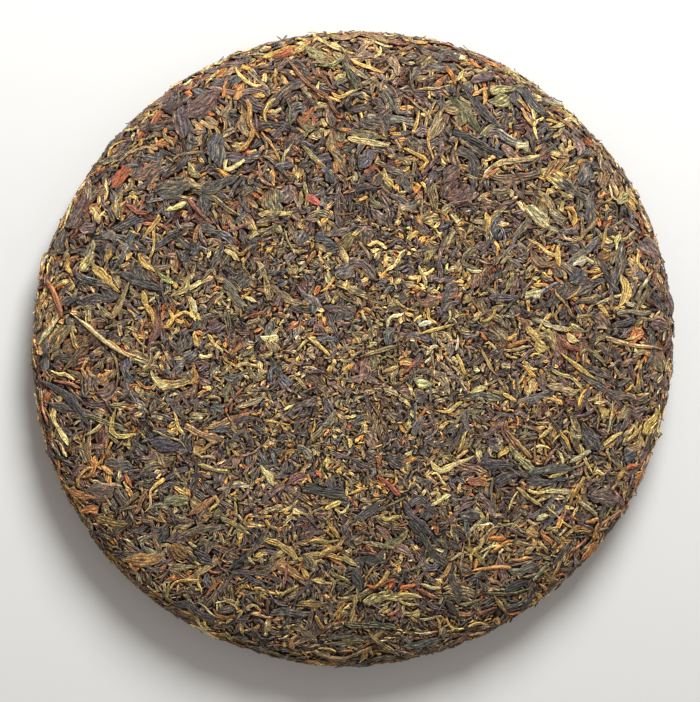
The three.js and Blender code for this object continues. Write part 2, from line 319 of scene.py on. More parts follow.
def lay(bed, size, kind, place, length, width, heading, bend, least_seen, proud, colour=None):
    """Lays one leaf on the map if enough of it shows, under all that lie there. Angles are in radians."""
    form = SIZES[size]
    thick = form["thick"] * width * rng.uniform(*THICK_SPREAD)
    along = np.linspace(-1, 1, max(int(length / SAMPLE), 5))
    sway = rng.normal(0, SWAY) if length > SWAY_FROM else 0.0
    kink = rng.normal(0, KINK) if rng.uniform() < KINK_SHARE and not colour else 0.0
    turn = heading + bend * along / 2 + sway * np.sin(np.pi * along * SWAY_WAVE + rng.uniform(0, SWAY_START))
    turn = turn + kink * np.tanh((along - rng.uniform(-KINK_WITHIN, KINK_WITHIN)) / KINK_REACH)
    step = length / (len(along) - 1)
    u = np.concatenate([[0], np.cumsum(np.cos((turn[1:] + turn[:-1]) / 2))]) * step
    v = np.concatenate([[0], np.cumsum(np.sin((turn[1:] + turn[:-1]) / 2))]) * step
    u += place[0] - u.mean()
    v += place[1] - v.mean()
    start_taper, end_taper = rng.choice(TAPERS, 2)
    half = width / 2 * np.clip((1 + along) / start_taper, 0, 1) ** TIP_POWER
    half = half * np.clip((1 - along) / end_taper, 0, 1) ** TIP_POWER
    bulges = rng.normal(1, form["ragged"], max(int(length / BULGE_EVERY), 2))
    half = half * np.interp(along, np.linspace(-1, 1, len(bulges)), bulges)
    across = np.linspace(-1, 1, max(int(width / SAMPLE) + 1, 3))
    spots_u = u[:, None] - (np.sin(turn) * half)[:, None] * across
    spots_v = v[:, None] + (np.cos(turn) * half)[:, None] * across
    i, j = bed.cells(spots_u, spots_v)
    seen = bed.bare[i, j].mean()
    if seen < least_seen:
        return
    tilt = rng.normal(0, TILT) * min(thick, TILT_THICKEST)
    drop = thick * form["drop"] * np.abs(across) ** EDGE_POWER + tilt * across
    allowed = (bed.ceiling[i, j] + proud + drop).min(axis=1)
    crown = envelope(allowed, int(STIFF_REACH / SAMPLE) if length > STIFF_FROM else 1)
    crown = np.maximum(crown, DEEPEST)
    top = crown[:, None] - drop
    bed.ceiling[i, j] = np.minimum(bed.ceiling[i, j], top - BURY)
    bed.bare[i, j] = False
    if size != "broad" and math.hypot(*place) > FACE_WAY - LOOSE_FROM and rng.uniform() < LOOSE_SHARE:
        stray = along * rng.choice([-1, 1])
        crown = crown + rng.uniform(*LOOSE_LIFT) * np.clip(stray, 0, 1) ** LOOSE_POWER
    colours = draw_colour(kind, colour)
    made[kind].append((bed, size, along, u, v, turn, half, crown, thick, tilt, length, colours))


SEEN_LIGHT = 0.68  # of a colour read off a lit leaf is the leaf's own
TWO_TONED = 0.35  # of the leaves turn to a colour of one of the first kinds
FIRST_KINDS = 6
LEAF_LIGHT = (-0.01, 0.11)  # middle and spread of how light a leaf is, on a log scale
LEAF_TINT = 0.03
KNOWN_CHANGE = 0.3  # how far a leaf of a known colour turns to its second one
LEAST_CHANGE = 0.3


def draw_colour(kind, given):
    """The two colours of a leaf, at its start and its end."""
    colours = KINDS[kind]["colours"]
    first = linear(given or colours[rng.integers(len(colours))])
    if rng.uniform() < TWO_TONED:
        colours = KINDS[list(KINDS)[rng.integers(FIRST_KINDS)]]["colours"]
    second = linear(colours[rng.integers(len(colours))])
    light = SEEN_LIGHT if given else rng.lognormal(*LEAF_LIGHT)
    tint = rng.normal(1, LEAF_TINT, 3)
    change = KNOWN_CHANGE if given else rng.uniform(LEAST_CHANGE, 1)
    return first * light * tint, (first * (1 - change) + second * change) * light * tint


def draw_kind(size):
    return list(KINDS)[rng.choice(len(KINDS), p=np.array(SHARES[size]) / sum(SHARES[size]))]


FINE_RING = (36, 64)  # leaves get larger from the first to the second distance
FINE_SHARE = 0.7
SLENDER_ZONE = (-70, 15)  # and get broader from the first to the second height
SLENDER_SHARE = 0.7
RIM_TURN = (14, 3)  # how far in from the widest place leaves begin to turn along the rim, and all do
RIM_SPREAD = 0.3
AT_RIM = 0.5  # a leaf turned this far follows the bend of the rim and may have its colours
LEAF_PROUD = 0.12


def fineness(bed, u, v):
    """How much smaller the leaf is here: the middle of the face is of finer leaf than the outside."""
    if bed.side == "back":
        return 1.0
    return float(np.interp(np.hypot(u, v), FINE_RING, (FINE_SHARE, 1)))


def slenderness(bed, v):
    """How broad leaves are here: the lower part of the face is of thin, twisted strands."""
    return 1.0 if bed.side == "back" else float(np.interp(v, SLENDER_ZONE, (SLENDER_SHARE, 1)))


def strew(bed, sizes, count, least_seen, on_bare):
    """Tries count leaves in random places, of sizes drawn by their shares."""
    if on_bare:
        places = bed.bare_spots(count)
    else:
        way = bed.reach * np.sqrt(rng.uniform(0, 1, count))
        angle = rng.uniform(0, 2 * np.pi, count)
        places = np.stack([way * np.cos(angle), way * np.sin(angle)], axis=1)
    shares = np.array(list(sizes.values()))
    drawn = rng.choice(list(sizes), count, p=shares / shares.sum())
    for place, size in zip(places, drawn):
        form = SIZES[size]
        way = math.hypot(*place)
        fine = fineness(bed, *place)
        if size in ("long", "broad", "needle") and rng.uniform() > fine**2:
            continue
        slender = slenderness(bed, place[1])
        if size == "broad" and rng.uniform() > slender**2:
            continue
        length = rng.uniform(*form["length"]) * fine
        width = rng.uniform(*form["width"]) * fine**0.5 * slender
        rim = np.interp(way, (FACE_WAY - RIM_TURN[0], FACE_WAY - RIM_TURN[1]), (0, 1))
        spread = np.interp(rim, (0, 1), (np.pi / 2, RIM_SPREAD))
        heading = math.atan2(place[1], place[0]) + np.pi / 2 + rng.uniform(-spread, spread)
        bend = np.clip(rng.normal(0, BENDS[size]), -MOST_BEND, MOST_BEND)
        bend += length / way if rim > AT_RIM else 0
        kind = draw_kind("rim" if rim > AT_RIM and rng.uniform() < RIM_WARMTH else size)
        width = min(width, SLIM_KINDS.get(kind, width))
        lay(bed, size, kind, place, length, width, heading, bend, least_seen, rng.uniform(0, LEAF_PROUD))


# Shares of the sizes: those strewn anywhere, then those put on bare spots, with how bare the side may stay.
LEAST_SEEN = 0.5
STREWN = {"needle": 0.2, "long": 0.13, "middling": 0.28, "short": 0.23, "broad": 0.07, "crumb": 0.09}
FILLS = (
    ({"middling": 0.7, "needle": 0.1, "short": 0.2}, 0.5, 0.3),
    ({"middling": 0.3, "short": 0.7}, 0.4, 0.12),
    ({"short": 0.8, "crumb": 0.2}, 0.3, 0.06),
    ({"short": 0.3, "crumb": 0.7}, 0.2, 0.025),
)
FILL_ROUNDS = 40
FILL_TRIES = 300
FACE_TRIES = 6400
BACK_TRIES = 3600


def cover(bed, count):
    """Strews leaves from the top of the side down until hardly any of it is bare."""
    strew(bed, STREWN, count, LEAST_SEEN, on_bare=False)
    for sizes, least_seen, until in FILLS:
        for _ in range(FILL_ROUNDS):
            if bed.bare_share() < until:
                break
            strew(bed, sizes, FILL_TRIES, least_seen, on_bare=True)


# The camera looks down on the cake from a little to the upper left, at this point.
CAMERA_TARGET = np.array([-2.4, 0.9, 11.0])
CAMERA_DISTANCE = 750
CAMERA_LEAN = math.radians(8)  # to the left, and as much upwards
CAMERA_LENS = 128.1
CAMERA_SENSOR = 36
CAMERA_NEAR = 10
SHEET_SCALE = 0.988  # from a reading to millimetres on a sheet across the target
SHEET_SHIFT = 0.75


def unit(vector):
    return vector / np.linalg.norm(vector)


camera_back = unit(np.array([-math.tan(CAMERA_LEAN), math.tan(CAMERA_LEAN), 1]))
camera_right = unit(np.cross((0, 1, 0), camera_back))
camera_up = np.cross(camera_back, camera_right)
camera_place = CAMERA_TARGET + camera_back * CAMERA_DISTANCE

# The leaves that stand out on the face, each read off that sheet with +Y up: middle x and y, length, width,
# heading and bend in degrees, and sRGB colour. The solid has the largest of them.
PLACED = {}
PLACED["pale_flake"] = (
    (-53.7, 42.5, 7, 1.6, 20, 10, (246, 222, 138)),
    (5, 63, 13, 1.9, -10, 10, (234, 204, 134)),
    (54.7, 16.5, 5.4, 2.4, 15, 20, (228, 208, 146)),
    (22, 7.2, 4.2, 1.6, 15, 0, (232, 226, 196)),
    (80, 32, 5.2, 1.8, 75, 0, (246, 224, 148)),
    (-25.7, -38.8, 8, 2, -60, 0, (216, 192, 126)),
    (62.5, -43.5, 8.5, 1.7, -4, -10, (220, 194, 124)),
    (58, -51.8, 4.4, 2.6, 20, 0, (222, 204, 148)),
    (-47.8, 12.5, 5, 1.5, -75, 0, (226, 206, 150)),
    (68.8, 25.8, 5, 2.4, 20, 0, (226, 212, 170)),
    (36.9, 23.3, 5, 0.9, -10, 70, (224, 204, 156)),
    (51.8, 61.7, 4.2, 2.2, -10, 0, (216, 196, 146)),
    (23.8, -73.1, 6.6, 1.3, -15, 10, (214, 200, 140)),
    (-5.9, -48.1, 5.4, 1.6, 25, 0, (240, 206, 110)),
    (26.9, -46.6, 7, 1.4, 30, 0, (216, 196, 130)),
)
PLACED["golden_bud"] = (
    (-76.5, 3.5, 22, 1.6, -38, 8, (230, 204, 152)),
    (-70.5, -0.5, 11, 1.4, -30, 20, (214, 178, 116)),
    (-74.5, 21, 12.5, 2.2, -47, 10, (218, 172, 92)),
    (-61.5, 12, 11, 2, -71, -14, (208, 160, 86)),
    (-62.5, 25.5, 7.6, 1.9, -50, 60, (206, 158, 78)),
    (-25.7, 72.5, 9, 1.4, -110, 90, (214, 178, 100)),
    (13, 26, 10, 1.3, 48, 20, (222, 196, 128)),
    (55.5, 2.5, 10, 2.3, -52, 34, (220, 180, 104)),
    (81.5, 16.5, 12, 1.9, -100, -80, (214, 178, 106)),
    (-21.5, -61, 12, 2, -35, -44, (196, 154, 86)),
    (-8.5, -59, 10, 1.4, 0, 6, (206, 166, 88)),
    (-6.8, -62, 8, 1.6, 20, -60, (204, 160, 88)),
    (30, -35.5, 16, 1.8, 8, 110, (222, 194, 124)),
    (68.5, -6, 15, 1.6, -36, 8, (208, 166, 100)),
    (90.5, -22.5, 9, 2.2, 52, 10, (214, 166, 88)),
    (29.5, -18.5, 9, 1.4, 20, 60, (214, 174, 100)),
    (9, -71, 7, 1.6, 50, 30, (212, 170, 96)),
    (42.5, -67.5, 13, 1.4, 2, -24, (206, 150, 84)),
    (-61, 36.3, 8.5, 1.5, 50, 10, (206, 160, 88)),
    (-73.8, 28, 5, 1.8, 70, 0, (186, 138, 78)),
    (76.1, 33.6, 8, 1, 75, -10, (214, 172, 96)),
    (75.8, 11.1, 5, 1.5, -50, 20, (212, 168, 90)),
    (-31.7, 62.9, 8, 1.5, 60, 60, (190, 142, 80)),
    (23.7, 61.7, 10, 1, -80, 14, (206, 150, 80)),
    (53.2, 70.2, 7, 1.2, -60, 0, (200, 162, 96)),
    (-10.1, 0.4, 9, 1.3, -40, 0, (206, 160, 92)),
    (11.6, -6.6, 5, 1.4, 20, 0, (212, 170, 100)),
    (21.5, 21.7, 7, 1.4, -70, -30, (220, 190, 128)),
    (41.8, 9.6, 7, 1.2, 50, 100, (214, 176, 100)),
    (25.5, 5.5, 11, 1, 15, 0, (206, 168, 98)),
    (32.9, -5.2, 7, 1.2, -65, 0, (208, 168, 98)),
    (38.1, -12.9, 5, 1.8, 15, 0, (220, 188, 112)),
    (47.6, -15.1, 5, 1.4, -30, 0, (212, 170, 100)),
    (85.6, -26.3, 7, 1.5, 40, 20, (210, 168, 96)),
    (-81.7, -38.8, 10, 1, -125, 110, (196, 150, 84)),
    (-74.3, -37.3, 4.6, 1.6, -35, 0, (216, 168, 98)),
    (-41.8, -47.6, 6.8, 1.1, -115, -60, (232, 196, 104)),
    (-49.6, -70.5, 6, 1, -2, 10, (222, 176, 96)),
    (-37.7, -88.2, 5, 1.4, -65, 20, (206, 170, 90)),
    (-10.1, -83.8, 5.5, 1.3, -60, 0, (210, 160, 84)),
    (-18.1, -89.9, 6, 1.5, -100, 120, (206, 150, 78)),
    (45.3, -78.6, 9.5, 1.5, -55, 10, (196, 160, 88)),
    (44.2, -83.5, 4.6, 1.8, -52, 0, (214, 158, 90)),
    (58.5, -73.4, 5, 1.1, -50, -60, (224, 160, 98)),
    (57.5, -76.1, 4.5, 2, -35, 0, (200, 140, 66)),
    (17.8, -75.8, 8, 1.3, -12, -20, (200, 170, 96)),
    (38.4, -87.5, 5.5, 1.1, 12, 0, (206, 160, 92)),
    (32, -86.2, 4.5, 1, 5, 0, (210, 160, 80)),
    (1.5, -43.6, 6.5, 1.2, 22, 0, (226, 170, 78)),
    (11.7, -52.1, 6, 1.6, 8, 50, (214, 180, 104)),
    (-9.6, -71.3, 6.5, 1.8, -12, 0, (222, 186, 110)),
    (-19.3, -74.2, 7, 1.1, 30, -40, (196, 162, 92)),
    (64.6, -28.1, 8, 1.3, -60, 0, (226, 170, 84)),
    (72.9, -52.7, 4.6, 1.3, 12, 0, (204, 150, 80)),
    (52.1, -64.7, 7, 1.4, 3, 0, (220, 160, 90)),
    (58.5, -25.9, 6, 1.5, 40, 0, (216, 190, 110)),
    (33.6, -28.4, 8, 1.2, 70, -20, (210, 176, 96)),
    (62.3, -38.6, 6.5, 1, 15, 20, (206, 176, 104)),
)
PLACED["orange_flake"] = (
    (-11.7, 44.8, 5.2, 2.1, -38, 10, (182, 92, 70)),
    (76, 27.5, 4.4, 3.4, 20, 0, (122, 66, 42)),
    (64, 69, 7.5, 2, -30, 0, (206, 146, 88)),
    (-82, -44.5, 9, 2, -10, 10, (180, 118, 70)),
    (-79.5, -49, 6, 2.3, 15, 0, (208, 130, 66)),
    (-45.5, -48, 10, 2.1, 33, 14, (172, 112, 66)),
    (-39.5, -81.5, 8.5, 1.8, -20, 130, (206, 130, 62)),
    (72.5, -62, 7.5, 3.4, 60, 0, (204, 130, 66)),
    (38, -41, 6, 2.8, -12, 0, (160, 84, 60)),
    (55, -56.5, 4.3, 2.6, -30, 0, (216, 166, 104)),
    (-34.4, 78, 6, 1.8, 65, 0, (200, 142, 82)),
    (-38.7, 79.1, 7, 1.2, 80, 0, (196, 122, 62)),
    (30.2, 83.1, 7, 1.5, -65, 0, (200, 124, 64)),
    (-12.5, 27.6, 4.5, 1.5, 55, 0, (178, 120, 72)),
    (-35.2, -0.7, 5, 2.4, 45, 0, (178, 112, 62)),
    (49.5, 1.1, 6, 1.5, 15, 0, (198, 130, 68)),
    (-79.8, -37.5, 9, 1.4, 60, 150, (200, 128, 70)),
    (-68, -40.4, 5, 1.3, -65, 0, (206, 120, 54)),
    (-1.9, -92.5, 4.4, 1, 3, 0, (200, 120, 66)),
    (17.1, -73.1, 5.5, 1.3, 10, 0, (196, 106, 54)),
    (8.4, -72.2, 9, 1.2, 12, 40, (214, 112, 56)),
    (74, -55.9, 6, 1.6, 80, 0, (190, 124, 60)),
    (59.3, -58.2, 6.5, 1.4, -52, 0, (216, 146, 76)),
    (44.2, -58.3, 5.5, 1.6, -2, 0, (204, 136, 64)),
    (45.7, -60.6, 8, 1.2, 30, -30, (190, 128, 66)),
    (85, -36, 5, 1.5, 6, 0, (196, 104, 60)),
)
PLACED["red_stalk"] = (
    (-16.5, 84, 12, 1.5, -50, 0, (178, 124, 92)),
    (-8, 76, 13, 1.3, -47, 8, (150, 98, 70)),
    (-70.5, 51.5, 8, 3.6, 52, 0, (188, 104, 66)),
    (-65, 41.8, 8.2, 1.8, -17, 10, (168, 96, 68)),
    (-64.3, -47.3, 8.4, 1.5, 63, 0, (146, 92, 68)),
    (11.5, -42.5, 9.2, 1.5, -43, 0, (156, 84, 62)),
    (-47.3, 42.1, 8, 1.5, -50, 0, (156, 96, 74)),
    (-89.6, 15.1, 12, 1.5, -65, -40, (176, 96, 62)),
    (-8.3, 81.7, 9, 1.2, -38, 0, (150, 100, 76)),
    (14.2, 93.1, 6, 1.5, -5, 0, (168, 88, 64)),
    (-33.9, 36.5, 7, 1.3, 20, 0, (132, 84, 82)),
    (17.8, -5.9, 6, 1, 40, 0, (160, 86, 66)),
    (12.5, -81, 4.2, 1.2, 20, 0, (170, 104, 70)),
    (41.2, -80.6, 7, 1.4, 14, 0, (126, 80, 64)),
    (34.5, -81.6, 4.2, 1.4, -8, 0, (196, 130, 84)),
    (22.6, -75.1, 7.2, 1.4, -28, 0, (170, 96, 64)),
    (-20.5, -70, 8, 1.2, 78, 0, (120, 70, 72)),
    (80, -51.4, 5, 1.2, 45, 0, (150, 96, 84)),
    (55.3, -32, 7.5, 0.9, -88, 0, (160, 104, 66)),
)
PLACED["tan_leaf"] = (
    (-51, 18.5, 11, 2.2, 45, 8, (190, 158, 104)),
    (-56.5, 21, 6, 1.8, -35, 12, (190, 178, 116)),
    (3.5, 95, 21, 1.8, -4, 0, (170, 122, 82)),
    (81.5, 45, 4.6, 3.2, 30, 0, (190, 166, 108)),
    (47.5, 56, 22, 1.9, 20, -60, (196, 168, 112)),
    (-63, -64, 12, 3.8, 6, 18, (184, 134, 80)),
    (63.5, -12.5, 10, 2.4, -17, 0, (196, 164, 116)),
    (-3, -93.5, 20, 1.5, 4, 80, (164, 128, 86)),
    (-93.3, 24.3, 9, 1.3, 80, 10, (178, 136, 82)),
    (85.3, 0.8, 20, 1.6, -12, 10, (172, 140, 92)),
    (70.2, 34.7, 12, 1.5, 40, 50, (184, 150, 98)),
    (85, 10.5, 12, 1.6, -2, 6, (152, 134, 106)),
    (-30.7, 69.5, 13, 1.6, -75, 16, (178, 132, 76)),
    (62.8, 65.4, 5, 1.6, 40, 0, (192, 154, 98)),
    (46.2, 78.7, 10, 2.1, 10, 0, (160, 138, 90)),
    (61.2, 54.7, 8, 2.4, 40, 0, (188, 136, 82)),
    (-31.9, -5.5, 8, 1.2, 0, -80, (190, 156, 106)),
    (8, -1.1, 12, 1.5, 15, 0, (178, 146, 96)),
    (49.8, -0.4, 9, 1.5, 8, 0, (178, 146, 98)),
    (41, -4.4, 10, 1.3, -60, 30, (176, 144, 98)),
    (-49.8, -81, 5.5, 2, -35, 0, (182, 134, 74)),
    (0.3, -79.1, 8, 2, 80, 40, (176, 140, 80)),
    (-27.5, -81.9, 6.5, 0.9, -12, 20, (190, 140, 96)),
    (-25.5, -92.5, 13, 1.8, -16, 10, (140, 118, 84)),
    (-9, -96, 6, 1, -15, 90, (190, 150, 90)),
    (9.6, -90.7, 14, 1.8, -42, 12, (150, 116, 72)),
    (35.9, -78.1, 6.5, 1.2, 15, 40, (170, 150, 106)),
    (60.5, -70.2, 7, 1.8, -40, 30, (176, 132, 72)),
    (27.9, -87.3, 5, 2, -85, 0, (140, 124, 88)),
    (-5.7, -55.7, 6.5, 1.4, -55, 0, (196, 152, 84)),
    (69.1, -33.1, 7.5, 1.6, 28, 0, (166, 156, 122)),
    (67.8, -43.8, 11, 1.5, 65, -20, (190, 140, 74)),
    (71.8, -49.1, 9.5, 1.6, -38, -20, (176, 156, 110)),
    (58.3, -60.9, 5.5, 1.3, -50, 0, (206, 164, 110)),
    (52.4, -59.9, 6, 1.3, -12, 20, (166, 136, 90)),
    (50.5, -29.3, 12, 1.6, -48, 0, (176, 136, 86)),
    (81.3, -36.2, 9, 1.8, -42, 0, (168, 146, 104)),
)
PLACED["olive_leaf"] = (
    (-53.5, -46.5, 7.5, 2.4, 4, 0, (134, 126, 96)),
    (-42.4, -36.8, 9.4, 1.5, -15, 8, (170, 148, 88)),
    (12, -76.5, 17, 2.1, 4, -34, (158, 138, 88)),
    (-5.3, 88, 12, 1.4, 30, 90, (150, 138, 84)),
    (34.7, 71.3, 14, 2.1, -50, -10, (96, 90, 66)),
    (21.7, -10.7, 6, 2.4, -10, 0, (172, 164, 118)),
    (-72.9, -52.9, 9.5, 2.4, -10, 30, (158, 126, 76)),
    (-55.9, -73.4, 6, 1.2, -100, 30, (150, 130, 84)),
    (-12, -78, 9.5, 2.2, 2, 10, (150, 120, 62)),
    (7.4, -75.8, 9.5, 1.9, 20, 0, (186, 172, 110)),
    (-2.1, -90.1, 12, 2.2, 2, 14, (136, 118, 80)),
    (47.4, -75.1, 15, 1.3, 0, 40, (120, 104, 72)),
    (57.9, -68.5, 8, 1.6, 50, 0, (134, 124, 90)),
    (-3.8, -70, 7.5, 1.4, -32, 0, (150, 136, 84)),
    (12.6, -59, 6.5, 2.2, 20, 0, (118, 110, 78)),
    (-13.5, -65.6, 6, 4, -60, 0, (120, 104, 70)),
    (54, -45.7, 11, 1.6, -38, 0, (160, 140, 88)),
    (42.6, -44.5, 9, 1.2, -88, 0, (130, 118, 84)),
)
PLACED["brown_leaf"] = (
    (-80, 36, 5, 2.8, 10, 0, (136, 104, 112)),
    (92.5, 7, 6, 4, -20, 0, (122, 92, 90)),
    (-17.5, -40, 6.7, 3, 30, 0, (138, 88, 82)),
    (41, -48, 9, 2.2, -57, 0, (122, 92, 90)),
    (39.5, 82.3, 8, 3, 20, 0, (104, 84, 82)),
    (-3.9, 11.6, 10, 2.7, -12, 0, (108, 88, 82)),
    (-11.2, -7.4, 8, 1.5, -5, 0, (106, 84, 80)),
    (-46, 73.7, 14, 6.4, 35, 0, (112, 84, 74)),
    (-51.5, 68.2, 9, 5, -80, 0, (98, 78, 80)),
    (-52.8, -62, 6, 4.4, -40, 0, (140, 96, 48)),
    (-47.5, -79.9, 13, 2.6, -32, 0, (96, 80, 82)),
    (-14.2, -87.3, 9.5, 2, -42, 10, (120, 104, 76)),
    (31.2, -80.4, 9, 2.2, -50, 0, (104, 92, 78)),
    (76.4, -46, 10, 5, -20, 0, (104, 84, 80)),
    (43, -29.6, 5, 2.6, -50, 0, (112, 88, 102)),
)
PLACED["grey_leaf"] = (
    (-54.5, 48, 10.5, 4.8, 12, 0, (80, 73, 72)),
    (-40, 49.5, 12, 3.6, 25, 6, (88, 81, 74)),
    (-56.5, -29.5, 9.5, 4.2, -6, 0, (80, 73, 76)),
    (72, -27, 10, 4.6, -60, 0, (80, 73, 72)),
    (45.8, 15.1, 9, 2.1, 2, 0, (104, 92, 94)),
    (-66.9, -52.9, 7.6, 0.9, -90, -90, (128, 118, 92)),
    (-19, -81, 12.5, 3, -4, 0, (88, 81, 78)),
    (5.7, -84.7, 17, 2.4, -6, 0, (110, 98, 76)),
    (10.1, -94.7, 8, 2.4, -6, 0, (112, 104, 84)),
    (52.2, -67.8, 9.5, 3.2, 12, 0, (110, 104, 86)),
    (66.1, -72.5, 9, 2.4, 42, 0, (104, 94, 78)),
    (21.6, -90.3, 12, 2.6, 8, 10, (98, 92, 80)),
    (60, -37.2, 14, 3, 4, 0, (100, 93, 84)),
    (84.2, -32.6, 4.4, 4, 20, 0, (84, 77, 82)),
)
PLACED["black_leaf"] = (
    (-64.5, 20, 16, 3, -20, -16, (74, 67, 64)),
    (39, 73.5, 20, 2.2, -48, 20, (76, 69, 68)),
    (-87, -15.5, 21, 2.8, -40, -50, (72, 65, 64)),
    (23, -60, 19, 2.6, -52, 14, (73, 66, 62)),
    (81.6, 7.4, 9, 2.4, 10, 0, (78, 71, 70)),
    (-0.9, 84.3, 11, 1.8, -65, 10, (76, 70, 64)),
    (38.8, 62.2, 18, 2.1, -25, 12, (76, 69, 66)),
    (68.6, 57.7, 10, 2.1, 30, 0, (76, 69, 68)),
    (77.1, 22, 14, 2, -60, 20, (76, 69, 66)),
    (-57.2, -57.1, 5.2, 3.6, 60, 0, (78, 71, 70)),
    (-45.4, -63.3, 6, 3.4, -30, 0, (80, 73, 76)),
    (-33.8, -88.6, 4.5, 2.2, -10, 0, (86, 79, 80)),
    (50.5, -72.8, 8, 3, 20, 0, (80, 74, 76)),
    (31.8, -74.3, 11, 2.6, -75, 10, (80, 73, 72)),
    (-8.4, -43.8, 13, 3.4, -12, 10, (78, 71, 66)),
    (4.6, -50.2, 9, 3.6, 38, 0, (80, 73, 72)),
    (20.5, -53.3, 16, 2.4, -48, 10, (80, 73, 74)),
    (1.5, -70.7, 8, 2.6, -65, 0, (82, 75, 74)),
    (6.1, -64.9, 8, 2.6, -8, 50, (80, 73, 68)),
    (44.1, -35.4, 11, 3.6, -6, 0, (80, 73, 72)),
    (59.3, -40.3, 14, 2.4, 2, 10, (80, 73, 74)),
    (35.3, -51.2, 6, 4, -10, 0, (78, 71, 72)),
    (72.2, -27.1, 6, 4.4, -30, 0, (86, 79, 84)),
)


def on_face(x, y):
    """Where a reading lies: on the line of sight, at the height of the face, as a place on its map."""
    right = camera_right * (x * SHEET_SCALE + SHEET_SHIFT)
    seen = CAMERA_TARGET + right + camera_up * (y * SHEET_SCALE + SHEET_SHIFT)
    height = face_height(np.hypot(seen[0], seen[1]))
    place = camera_place + (seen - camera_place) * (camera_place[2] - height) / (camera_place[2] - seen[2])
    radius = np.hypot(place[0], place[1])
    way = np.interp(radius, steps_out, track_way[: FINE_STEPS + 1])
    return place[:2] / radius * way


BROAD_FROM = 2.6  # a broad leaf is wider than this, and than this share of its length
BROAD_SHARE = 1 / 4
SHORT_UNDER = 4.4
NEEDLE_UNDER = 1.7
LONG_FROM = 9


def size_for(length, width):
    """The size whose form suits a leaf of this length and width."""
    if width > BROAD_FROM and width > length * BROAD_SHARE:
        return "broad"
    if length < SHORT_UNDER:
        return "short"
    if width < NEEDLE_UNDER:
        return "needle"
    return "middling" if length < LONG_FROM else "long"


PROUD = 0.22  # how far a leaf that stands out is over the others
PROUD_RIM = 0.6
PROUD_WITHIN = 6  # how near to the outline that holds


def place_known(bed):
    for kind, leaves in PLACED.items():
        for x, y, length, width, heading, bend, colour in leaves:
            size = size_for(length, width)
            angles = math.radians(heading), math.radians(bend)
            proud = PROUD_RIM if math.hypot(x, y) > CAKE_RADIUS - PROUD_WITHIN else PROUD
            lay(bed, size, kind, on_face(x, y), length, width, *angles, 0.0, proud, colour)


def tube_faces(rings, around):
    """Faces of one leaf as corner numbers, fours and then threes, and their corners' places in its tile."""
    fours, threes, four_tile, three_tile = [], [], [], []
    first, last = rings * around, rings * around + 1
    for p in range(around):
        q = (p + 1) % around
        low, high = p / around, (p + 1) / around
        for r in range(rings - 1):
            a, b = (r + 1) / (rings + 1), (r + 2) / (rings + 1)
            fours.append((r * around + p, (r + 1) * around + p, (r + 1) * around + q, r * around + q))
            four_tile.append(((a, low), (b, low), (b, high), (a, high)))
        a, b = 1 / (rings + 1), rings / (rings + 1)
        end = (rings - 1) * around
        threes.append((first, p, q))
        three_tile.append(((0, (low + high) / 2), (a, low), (a, high)))
        threes.append((end + p, last, end + q))
        three_tile.append(((b, low), (1, (low + high) / 2), (b, high)))
    return tuple(np.array(part) for part in (fours, threes, four_tile, three_tile))


TUBES = {size: tube_faces(form["rings"], form["tops"] + UNDER_POINTS) for size, form in SIZES.items()}


UNDER_REACH = 0.7  # of the width, on the underside
UNDER_DEPTH = 1.05  # of the thickness
JITTER = 0.4  # of the space between the points across
RIDGE_UP = (0.6, 1.2)
RIDGE_DOWN = (0.5, 1.1)
RIDGE_CHANGE = 0.5  # from ring to ring
RIDGE_HEIGHT = (0.03, 0.13)
TORN = 0.8  # how far the tips are torn askew
TORN_POWER = 8
TIP_DEPTH = 0.6
GAP_SHADE_FADE = 0.6  # painted shade: how fast a corner darkens below the level, for each millimetre
# The darkest and lightest factors of the painted gap shade; corners a little over the level get lighter.
GAP_SHADE_RANGE = (0.25, 1.15)
# Painted light and shade: lighter ridges, darker grooves, undersides and tips, and edges darker or lighter.
EDGE_SHADES = [-0.35, 0.0, 0.45]
EDGE_SHADE_POWER = 4
WARM_POWER = 3
RIDGE_SHADE = 0.38
UNDER_SHADE = 0.4
TIP_SHADE = 0.6
SHADE_SPREAD = 0.2
CHANGE_SPREAD = 0.4
# How strong the painted highlight along ridges and light edges gets at most.
GLINT = 0.16
SLANT = 0.12
PATTERN_REACH = 900  # leaves read their noise anywhere up to here
# The tan colour of that painted highlight.
RIDGE_GLINT_COLOUR = linear((165, 151, 122))
WARM_EDGES = np.array([0.22, 0.03, -0.22])  # how much more red, green and blue the edges have
CRUMPLE = 0.07  # how far a corner stands out or in
GAP_SHADE_TINT = np.array([0.25, 1.08, 1.35])  # red fades least in the painted shade of the gaps
